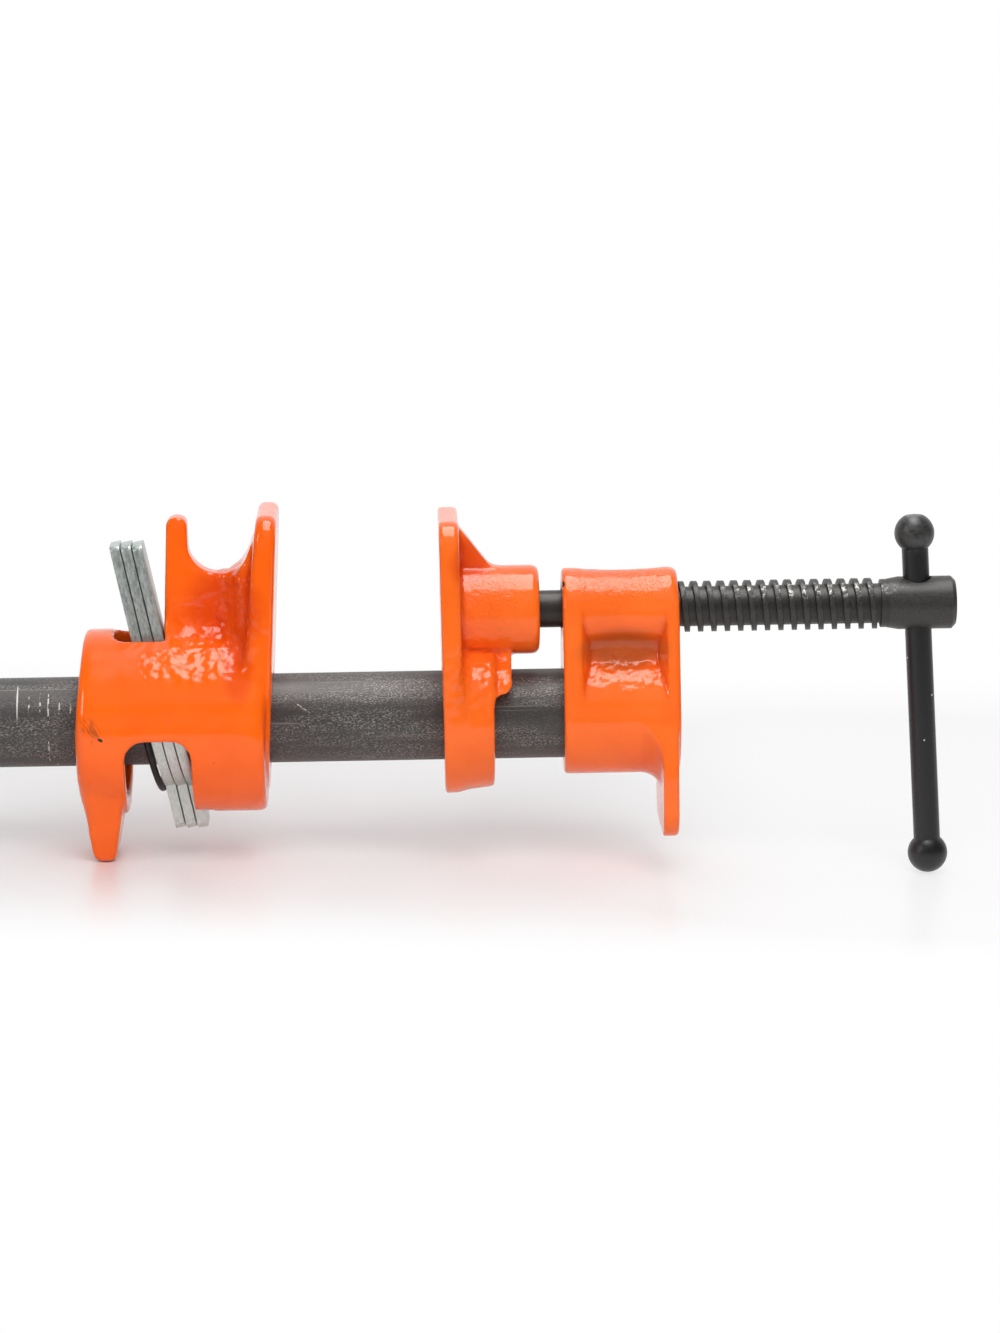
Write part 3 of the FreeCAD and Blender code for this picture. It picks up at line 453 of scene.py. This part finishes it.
# A brown rub on the rear ring, in slanting streaks, with one deep chip at its end and another on
# the rim of the head's screw hole.
rub_place = ((-0.0620, -0.0276, 0.0526), (0.0034, 0.012, 0.0056))
rub_slant = math.radians(-28)
streaked = laid_in(tree, place, turn=rub_slant, stretch=(1, 1, 6))
streaks = range_in(tree, noise_in(tree, streaked, 1100.0, 2.0), 0.38, 0.62, 0.0, 0.62)
rub = math_in(tree, "MULTIPLY", patch_in(tree, place, *rub_place, rub_slant), streaks)
pooled_and_shaded = mix_in(tree, rub, pooled_and_shaded, scuff_and_shade_brown)
deep_chips = (((-0.0591, -0.0276, 0.0499), (0.0011, 0.012, 0.0006)),
              ((0.0776, -0.0078, 0.0908), (0.0012, 0.0022, 0.0012)))
chip_slant = math.radians(25)
chips = specks_in(tree, place, 190.0, 0.035, 0.14)
for centre, reach in deep_chips:
    deep_chip = range_in(tree, patch_in(tree, place, centre, reach, chip_slant), 0.2, 0.5)
    chips = math_in(tree, "MAXIMUM", chips, deep_chip)
tree.links.new(mix_in(tree, chips, pooled_and_shaded, chip_dark), shader.inputs["Base Color"])
dulled = range_in(tree, noise_in(tree, place, 220.0), 0.3, 0.7, 0.13, 0.22)
tree.links.new(dulled, shader.inputs["Roughness"])
# The enamel waves a little all over, is lumpy over sandy iron, and has an orange peel on the head's
# top and on the sliding jaw's boss.
enamel_relief = 0.0005
wave = math_in(tree, "MULTIPLY", noise_in(tree, place, 150.0, 1.0), 0.16)
lumpy = math_in(tree, "MULTIPLY", range_in(tree, sandy.outputs["Fac"], 0.0, 1.0, 0.02, 1.0),
                range_in(tree, noise_in(tree, place, 140.0, 1.0), 0.42, 0.60, 0.25, 1.0))
lump = math_in(tree, "MULTIPLY", noise_in(tree, place, 400.0, 2.0), lumpy)
peeled_places = (((0.0955, 0, 0.0925), (0.0210, 1, 0.0095), 0.8),
                 ((0.0570, 0, 0.0860), (0.0140, 1, 0.0140), 0.6))
peeled = 0.0
for centre, reach, share in peeled_places:
    fine_place = math_in(tree, "MULTIPLY", patch_in(tree, place, centre, reach), share)
    peeled = math_in(tree, "MAXIMUM", fine_place, peeled)
peel = math_in(tree, "MULTIPLY", noise_in(tree, place, 1100.0, 1.0), peeled)
bump_in(tree, shader, math_in(tree, "ADD", math_in(tree, "ADD", wave, lump), peel), enamel_relief)

# Each casting has its body, its voxel size, its bores (height, radius), its sandy places, its
# faintly sandy places and the places that flow into each other (centre and reach along and up).
pipe_axis = (pipe_low.z + pipe_high.z) / 2
screw_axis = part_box("spindle_washer")[0].z / 2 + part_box("spindle_washer")[1].z / 2
sliding_bore = 0.01374
head_bore = 0.01339
washer_recess = 0.0092
screw_hole = 0.00765
castings = {
    "clutch_casting": (
        "tail_stop", 0.00068, [(pipe_axis, sliding_bore)],
        [((-0.0255, 0.0820), (0.0165, 0.0110)), ((-0.0320, 0.0705), (0.0160, 0.0065)),
         ((-0.0200, 0.0955), (0.0060, 0.0040))],
        [((-0.0240, 0.0910), (0.0150, 0.0120))],
        [((-0.0620, 0.0280), (0.0080, 0.0085)), ((-0.0155, 0.0600), (0.0050, 0.0140)),
         ((-0.0190, 0.0840), (0.0045, 0.0150))]),
    "sliding_jaw_casting": (
        "sliding_jaw", 0.00056, [(pipe_axis, sliding_bore), (screw_axis, washer_recess)],
        [((0.0520, 0.0650), (0.0130, 0.0130))],
        [((0.0560, 0.0840), (0.0150, 0.0150))],
        [((0.0483, 0.0480), (0.0035, 0.0250))]),
    "head_casting": (
        "frame", 0.00052, [(pipe_axis, head_bore), (screw_axis, screw_hole)],
        [((0.0960, 0.0650), (0.0150, 0.0070))],
        [((0.0955, 0.0900), (0.0210, 0.0100))],
        [((0.0831, 0.0930), (0.0040, 0.0090)), ((0.1092, 0.0930), (0.0040, 0.0090))]),
}
edge_passes = 9
flowing_passes = 110
hollow_passes = 45
full_depth = 0.0005
bore_margin = 0.0003
lump_size = 0.0030
lump_height = 0.00085
faint_share = 0.18
hollow_share = 0.5
sand = bpy.data.textures.new("sand_lumps", "CLOUDS")
sand.noise_scale = lump_size
for node, (body, grain, bores, sandy_places, faint_places, flowing_places) in castings.items():
    cast = new_copy(node, node.replace("casting", "cast"))
    remesh = cast.modifiers.new("grain", "REMESH")
    remesh.mode = "VOXEL"
    remesh.voxel_size = grain
    bpy.ops.object.modifier_apply(modifier=remesh.name)
    sharp = points_of(cast)
    facing = np.zeros(len(sharp) * 3, np.float32)
    cast.data.vertices.foreach_get("normal", facing)
    flowing = near(sharp, flowing_places)
    soften(cast, edge_passes)
    soften(cast, flowing_passes, weigh(cast, "flowing", flowing))
    soft_edges = points_of(cast)
    # What more softening fills is a hollow, where enamel and sand gather, and where the enamel is painted
    # darker as painted shade.
    soften(cast, hollow_passes)
    filled = ((points_of(cast) - sharp) * facing.reshape(-1, 3)).sum(1)
    depth = np.clip(filled / full_depth, 0, 1) * (1 - flowing)
    # The bores are machined and stay sharp.
    bored = np.zeros(len(sharp), bool)
    for height, radius in bores:
        bored |= np.hypot(sharp[:, 1], sharp[:, 2] - height) < radius + bore_margin
    soft_edges[bored] = sharp[bored]
    cast.data.vertices.foreach_set("co", soft_edges.ravel())
    cast.data.update()
    rough = np.maximum(depth * hollow_share, near(sharp, sandy_places))
    rough = np.maximum(rough, faint_share * near(sharp, faint_places))
    rough[bored] = 0
    lumps = cast.modifiers.new("lumps", "DISPLACE")
    lumps.texture = sand
    lumps.strength = lump_height
    lumps.mid_level = 0.5
    lumps.vertex_group = weigh(cast, "lumpy", rough)
    bpy.ops.object.modifier_apply(modifier=lumps.name)
    for label, values in (("hollow", depth), ("sandy", rough)):
        mark = cast.data.attributes.new(label, "FLOAT", "POINT")
        mark.data.foreach_set("value", values.astype(np.float32))
    bpy.ops.object.shade_smooth()
    cast.data.materials.append(enamel)
    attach(cast, body)
    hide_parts(node)

# Pipe: three-quarter inch black steel pipe with mill scale. Sliding the jaws along it has rubbed
# pale speckled bands, and scraped rings where the tail stop was locked before.
pipe_dark = (0.064, 0.060, 0.057, 1)
pipe_rubbed = (0.37, 0.355, 0.34, 1)
pipe_scratch = (0.55, 0.54, 0.50, 1)
mill_scale, tree, shader = new_look("mill_scale", {
    "Metallic": 0.45, "Coat Weight": 0.05, "Coat Roughness": 0.3})
place = tree.nodes.new("ShaderNodeTexCoord").outputs["Object"]


def drawn_in(tree, where, stretch):
    """The same place drawn out along the pipe, for marks that run along it."""
    drawn = tree.nodes.new("ShaderNodeMapping")
    drawn.inputs["Scale"].default_value = (stretch, 1, 1)
    tree.links.new(where, drawn.inputs["Vector"])
    return drawn.outputs["Vector"]


fine = noise_in(tree, drawn_in(tree, place, 0.4), 3800.0, 2.0, 0.7)
wide = noise_in(tree, drawn_in(tree, place, 0.12), 190.0, 2.0)
lines = noise_in(tree, drawn_in(tree, place, 0.02), 1300.0, 2.0)
patchy = range_in(tree, wide, 0.38, 0.64, 0.15, 1.0)
rubbed = math_in(tree, "MULTIPLY", range_in(tree, fine, 0.47, 0.72), patchy)
rubbed = math_in(tree, "MAXIMUM", rubbed, range_in(tree, lines, 0.60, 0.74, 0.0, 0.35))
colour = mix_in(tree, rubbed, pipe_dark, pipe_rubbed)
bright = specks_in(tree, place, 300.0, 0.09, 0.05)
# Rings scraped by the plates' bite: station, middle height, reach up and down, all in metres. The
# first is whole, and the others are broken.
plate_rings = ((-0.0845, 0.0592, 0.0075), (-0.0810, 0.0577, 0.0035), (-0.0777, 0.0582, 0.0040),
               (-0.0753, 0.0567, 0.0060), (-0.0754, 0.0435, 0.0050), (-0.0720, 0.0562, 0.0030),
               (-0.0687, 0.0567, 0.0030))
pipe_front = -0.0133
ring_width = 0.00032
ring_wrap = 0.013
broken = range_in(tree, noise_in(tree, place, 900.0, 2.0), 0.44, 0.54)
for number, (station, height, reach) in enumerate(plate_rings):
    ring = patch_in(tree, place, (station, pipe_front, height), (ring_width, ring_wrap, reach))
    ring = range_in(tree, ring, 0.2, 0.6)
    if number > 0:
        ring = math_in(tree, "MULTIPLY", ring, broken)
    bright = math_in(tree, "MAXIMUM", bright, ring)
# One slanting scratch between the tail stop and the sliding jaw.
scratch_place = ((-0.0003, -0.0130, 0.0560), (0.0040, 0.012, 0.00025))
slanting = range_in(tree, patch_in(tree, place, *scratch_place, math.radians(33)), 0.2, 0.6)
bright = math_in(tree, "MAXIMUM", bright, math_in(tree, "MULTIPLY", slanting, broken))
colour = mix_in(tree, bright, colour, pipe_scratch)
tree.links.new(colour, shader.inputs["Base Color"])
tree.links.new(range_in(tree, wide, 0.3, 0.7, 0.40, 0.56), shader.inputs["Roughness"])
bump_in(tree, shader, fine, 0.00008, 0.6)
nodes["pipe"].data.materials.clear()
nodes["pipe"].data.materials.append(mill_scale)

# Pipe thread: the free end carries a cut pipe thread, 14 threads to the inch, over its first
# 20 mm. It is as dark as the pipe, and its tips stay a little below the pipe's surface.
thread_step = 0.0254 / 14
thread_turns = 10
thread_root = 0.01300
thread_tip = 0.01330
thread_start = pipe_low.x + 0.0013
steps_a_turn = 64
# A tooth's corners: how far along in steps, and the radius.
tooth = ((0, thread_root), (0.40, thread_tip), (0.50, thread_tip), (0.90, thread_root))
bpy.ops.object.select_all(action="DESELECT")
bpy.ops.mesh.primitive_circle_add(vertices=len(tooth), radius=thread_step, fill_type="NOTHING")
cut = bpy.context.object
cut.name = "pipe_end_thread"
for corner, (along, out) in zip(cut.data.vertices, tooth):
    corner.co = (thread_start + along * thread_step, 0, out)
turned = cut.modifiers.new("turned", "SCREW")
turned.axis = "X"
turned.angle = 2 * math.pi
turned.screw_offset = thread_step
turned.iterations = thread_turns
turned.steps = turned.render_steps = steps_a_turn
turned.use_merge_vertices = False
bpy.ops.object.modifier_apply(modifier=turned.name)
bpy.ops.object.mode_set(mode="EDIT")
bpy.ops.mesh.select_all(action="DESELECT")
bpy.ops.mesh.select_mode(type="EDGE")
bpy.ops.mesh.select_non_manifold(extend=False, use_wire=False, use_multi_face=False,
                                 use_non_contiguous=False, use_verts=False)
bpy.ops.mesh.edge_face_add()
bpy.ops.mesh.select_mode(type="VERT")
bpy.ops.mesh.select_all(action="SELECT")
bpy.ops.mesh.normals_make_consistent(inside=False)
bpy.ops.object.mode_set(mode="OBJECT")
cut.data.transform(Matrix.Translation((0, 0, pipe_axis)))
bpy.ops.object.shade_smooth_by_angle(angle=math.radians(20))
cut.data.materials.append(mill_scale)
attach(cut, "frame")

# Spindle: a turned steel screw with a square-cut thread, black oxide, worn bright on the crests.
# The ring that holds it in the jaw and the handle are black too.
oxide_dark = (0.036, 0.034, 0.031, 1)
worn_and_sheen_grey = (0.50, 0.49, 0.46, 1)
flank_radius = 0.0066
upper_flank_radius = 0.0072
near_crest_radius = 0.00725
worn_crest_radius = 0.0075
crest_edge_radius = 0.00755
past_crest_radius = 0.00765
crest_wear = 0.00042
oxide, tree, shader = new_look("black_oxide", {"Metallic": 0.35})
place = tree.nodes.new("ShaderNodeTexCoord").outputs["Object"]
cloud = noise_in(tree, place, 180.0)
grit = noise_in(tree, place, 1500.0, 3.0, 0.7)
thin = range_in(tree, cloud, 0.52, 0.70, 0.0, 0.3)
worn = math_in(tree, "MULTIPLY", range_in(tree, grit, 0.58, 0.74), thin)
# The crests are rubbed a little, and scuffed white near the hub, where the thread is worked most.
# The stretch along the screw makes the length a radius.
out = length_in(tree, laid_in(tree, place, centre=(0, 0, screw_axis), stretch=(1000, 1, 1)))
crest = range_in(tree, out, near_crest_radius, worn_crest_radius, 0.0, 0.035)
crest = math_in(tree, "MULTIPLY", crest, range_in(tree, grit, 0.35, 0.65))
scuffed = patch_in(tree, place, (0.1500, -0.0050, screw_axis + 0.0050), (0.0340, 0.0040, 0.0036))
scuffs = range_in(tree, noise_in(tree, place, 900.0, 3.0, 0.7), 0.50, 0.62)
scuffed = math_in(tree, "MULTIPLY", scuffed, scuffs)
scuffed = math_in(tree, "MULTIPLY", scuffed, range_in(tree, out, flank_radius, upper_flank_radius))
worn = math_in(tree, "MAXIMUM", math_in(tree, "MAXIMUM", worn, crest), scuffed)
tree.links.new(mix_in(tree, worn, oxide_dark, worn_and_sheen_grey), shader.inputs["Base Color"])
tree.links.new(range_in(tree, grit, 0.3, 0.7, 0.32, 0.52), shader.inputs["Roughness"])
bump_in(tree, shader, grit, 0.00006, 0.6)
screw = new_copy("spindle_screw", "worn_screw")
spots = points_of(screw)
out_from_axis = np.hypot(spots[:, 1], spots[:, 2] - screw_axis)
edge_ends = np.zeros(len(screw.data.edges) * 2, np.int32)
screw.data.edges.foreach_get("vertices", edge_ends)
ends_out = out_from_axis[edge_ends.reshape(-1, 2)]
on_crest = ((ends_out > crest_edge_radius) & (ends_out < past_crest_radius)).all(1)
bpy.ops.object.mode_set(mode="EDIT")
bpy.ops.mesh.select_all(action="DESELECT")
bpy.ops.mesh.select_mode(type="EDGE")
bpy.ops.mesh.edges_select_sharp(sharpness=math.radians(60))
bpy.ops.object.mode_set(mode="OBJECT")
sharp_edges = np.zeros(len(screw.data.edges), bool)
screw.data.edges.foreach_get("select", sharp_edges)
screw.data.edges.foreach_set("select", sharp_edges & on_crest)
bpy.ops.object.mode_set(mode="EDIT")
bpy.ops.mesh.bevel(offset=crest_wear, segments=2, affect="EDGES", clamp_overlap=True)
bpy.ops.mesh.select_mode(type="VERT")
bpy.ops.object.mode_set(mode="OBJECT")
bpy.ops.object.shade_smooth_by_angle(angle=math.radians(35))
screw.data.materials.append(oxide)
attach(screw, "spindle")
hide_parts("spindle_screw")
nodes["spindle_retaining_ring"].data.materials.clear()
nodes["spindle_retaining_ring"].data.materials.append(oxide)

# Handle: a plain steel bar that slides through the screw's hub, satin black. Its lower ball is
# forged on, and the upper one is pressed on when the bar is in the hub.
satin_dark = (0.008, 0.008, 0.009, 1)
satin, tree, shader = new_look("black_satin", {
    "Metallic": 0.2, "Coat Weight": 0.36, "Coat Roughness": 0.42})
place = tree.nodes.new("ShaderNodeTexCoord").outputs["Object"]
grit = noise_in(tree, place, 900.0, 3.0, 0.7)
dust = specks_in(tree, place, 420.0, 0.14, 0.04)
# The upper ball's top is rubbed thin by the palm, and is also painted paler as a painted highlight.
rubbed = math_in(tree, "MULTIPLY", patch_in(tree, place, (0.1835, 0, 0.1055), (0.0110, 1, 0.0090)),
                 range_in(tree, grit, 0.3, 0.7, 0.03, 0.09))
dust_wear_and_sheen = math_in(tree, "MAXIMUM", dust, rubbed)
tree.links.new(mix_in(tree, dust_wear_and_sheen, satin_dark, worn_and_sheen_grey), shader.inputs["Base Color"])
tree.links.new(range_in(tree, grit, 0.3, 0.7, 0.36, 0.50), shader.inputs["Roughness"])
bump_in(tree, shader, grit, 0.00005, 0.5)
for node in ("handle_bar", "handle_end_ball"):
    nodes[node].data.materials.clear()
    nodes[node].data.materials.append(satin)

# Clutch plates: three steel plates, sheared from strip and zinc plated. The faces have a green
# cast, and the sheared edges are mottled grey with a rolled corner.
zinc_light = (0.58, 0.64, 0.61, 1)
zinc_dark = (0.27, 0.30, 0.285, 1)
zinc_reflection = (0.86, 0.91, 0.88, 1)
plate_lean = math.radians(11.8)
zinc, tree, shader = new_look("zinc_plate", {"Metallic": 0.6})
place = tree.nodes.new("ShaderNodeTexCoord").outputs["Object"]
sheared = laid_in(tree, place, turn=-plate_lean, stretch=(1, 1, 2.6))
mottle = noise_in(tree, sheared, 1500.0, 3.0, 0.6)
cloud = noise_in(tree, place, 150.0)
grey = mix_in(tree, range_in(tree, mottle, 0.25, 0.75), zinc_dark, zinc_light)
grey = mix_in(tree, range_in(tree, cloud, 0.4, 0.7, 0.0, 0.5), grey, zinc_light)
# Painted reflection: the lower ends are painted bright, standing in for the white floor's reflection.
reflection_top = 0.062
reflection_full = 0.044
floor_reflection = range_in(tree, side_in(tree, place, "Z"), reflection_top, reflection_full, 0.0, 0.4)
tree.links.new(mix_in(tree, floor_reflection, grey, zinc_reflection), shader.inputs["Base Color"])
tree.links.new(range_in(tree, mottle, 0.3, 0.7, 0.30, 0.40), shader.inputs["Roughness"])
bump_in(tree, shader, mottle, 0.00004, 0.12)
rolled_edge = 0.0006
sheared_thinner = 0.91
through_plate = Vector((math.cos(plate_lean), 0, math.sin(plate_lean)))
for place_name in ("front", "middle", "rear"):
    node = "clutch_plate_" + place_name
    plate = new_copy(node, "zinc_plate_" + place_name)
    plate_low, plate_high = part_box(node)
    middle = (plate_low + plate_high) / 2
    plate.data.transform(Matrix.Translation(middle) @ Matrix.Scale(sheared_thinner, 4, through_plate)
                         @ Matrix.Translation(-middle))
    rolled = plate.modifiers.new("rolled_edge", "BEVEL")
    rolled.width = rolled_edge
    rolled.segments = 2
    rolled.limit_method = "ANGLE"
    rolled.angle_limit = math.radians(40)
    bpy.ops.object.modifier_apply(modifier=rolled.name)
    bpy.ops.object.shade_smooth_by_angle(angle=math.radians(35))
    plate.data.materials.append(zinc)
    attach(plate, "plate_" + place_name)
    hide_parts(node)

# Washer and spring: the thrust washer is stamped and zinc plated, and lies in the sliding jaw. The
# spring is coiled from black steel wire, and stands behind the plates.
nodes["spindle_washer"].data.materials.clear()
nodes["spindle_washer"].data.materials.append(zinc)
spring_dark = (0.012, 0.012, 0.013, 1)
spring_dusty = (0.09, 0.09, 0.09, 1)
spring_look, tree, shader = new_look("spring_black", {"Metallic": 0.4})
place = tree.nodes.new("ShaderNodeTexCoord").outputs["Object"]
grit = noise_in(tree, place, 800.0)
dusty = range_in(tree, grit, 0.5, 0.8, 0.0, 0.3)
tree.links.new(mix_in(tree, dusty, spring_dark, spring_dusty), shader.inputs["Base Color"])
tree.links.new(range_in(tree, grit, 0.3, 0.7, 0.3, 0.45), shader.inputs["Roughness"])
spring = new_copy("clutch_spring", "plate_spring")
bpy.ops.object.shade_smooth_by_angle(angle=math.radians(40))
spring.data.materials.append(spring_look)
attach(spring, "tail_stop")
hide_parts("clutch_spring")
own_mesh(spring)
